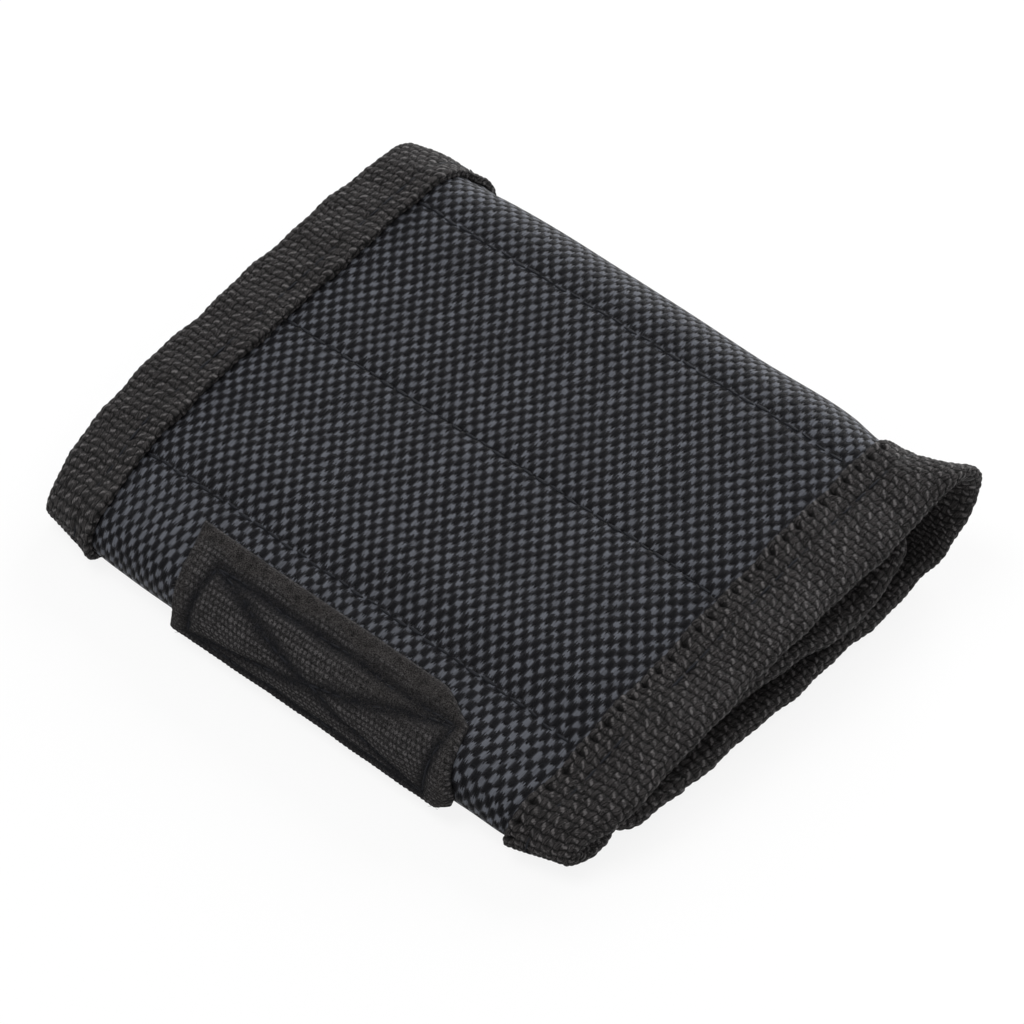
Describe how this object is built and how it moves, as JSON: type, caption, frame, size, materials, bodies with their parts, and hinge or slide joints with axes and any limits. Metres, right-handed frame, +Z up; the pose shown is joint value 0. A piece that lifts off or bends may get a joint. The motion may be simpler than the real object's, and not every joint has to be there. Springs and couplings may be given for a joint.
{
  "type": "magnetic wristband",
  "caption": "Rolled-up tool wristband: a wide bound nylon band with disc magnets in sewn pockets and a hook-and-loop closure, folded into a flat spiral.",
  "frame": {"origin": "middle of the roll's length and width, on the surface it rests on", "axes": "+X across the band (its width), +Y towards the fat fold at the back, +Z up"},
  "size_m": [0.098, 0.0814, 0.0205],
  "materials": {
    "nylon": "coarse ballistic weave",
    "webbing": "matt basket-weave webbing",
    "lining": "plain cloth",
    "pile": "fuzzy hook-and-loop pile",
    "magnet": "nickel plated"
  },
  "bodies": {
    "bottom": {"bottom_binding_left": "webbing", "bottom_binding_right": "webbing", "bottom_cloth": "nylon", "bottom_end_binding": "webbing", "bottom_lining": "lining", "bottom_magnet_1_1": "magnet", "bottom_magnet_1_2": "magnet", "bottom_magnet_1_3": "magnet", "bottom_magnet_2_1": "magnet", "bottom_magnet_2_2": "magnet", "bottom_magnet_2_3": "magnet", "closure_hook_tape": "pile"},
    "top": {"top_binding_left": "webbing", "top_binding_right": "webbing", "top_cloth": "nylon", "top_lining": "lining", "top_magnet_1_1": "magnet", "top_magnet_1_2": "magnet", "top_magnet_1_3": "magnet", "top_magnet_2_1": "magnet", "top_magnet_2_2": "magnet", "top_magnet_2_3": "magnet"},
    "flap": {"closure_loop_tape": "pile", "flap_binding_left": "webbing", "flap_binding_right": "webbing", "flap_cloth": "nylon", "flap_end_binding": "webbing", "flap_lining": "lining", "flap_magnet_1_1": "magnet", "flap_magnet_1_2": "magnet", "flap_magnet_1_3": "magnet", "flap_magnet_2_1": "magnet", "flap_magnet_2_2": "magnet", "flap_magnet_2_3": "magnet"}
  },
  "joints": [
    {"name": "back_fold", "type": "hinge", "parent": "bottom", "child": "top", "pos_m": [0, 0.02606, 0.02008], "axis": [-1, 0, 0], "range_deg": [0, 120]},
    {"name": "front_fold", "type": "hinge", "parent": "top", "child": "flap", "pos_m": [0, -0.0266, 0.01251], "axis": [-1, 0, 0], "range_deg": [0, 24]}
  ],
  "couplings": [
    {"joint": "front_fold", "follows": "back_fold", "ratio": 0.2}
  ]
}
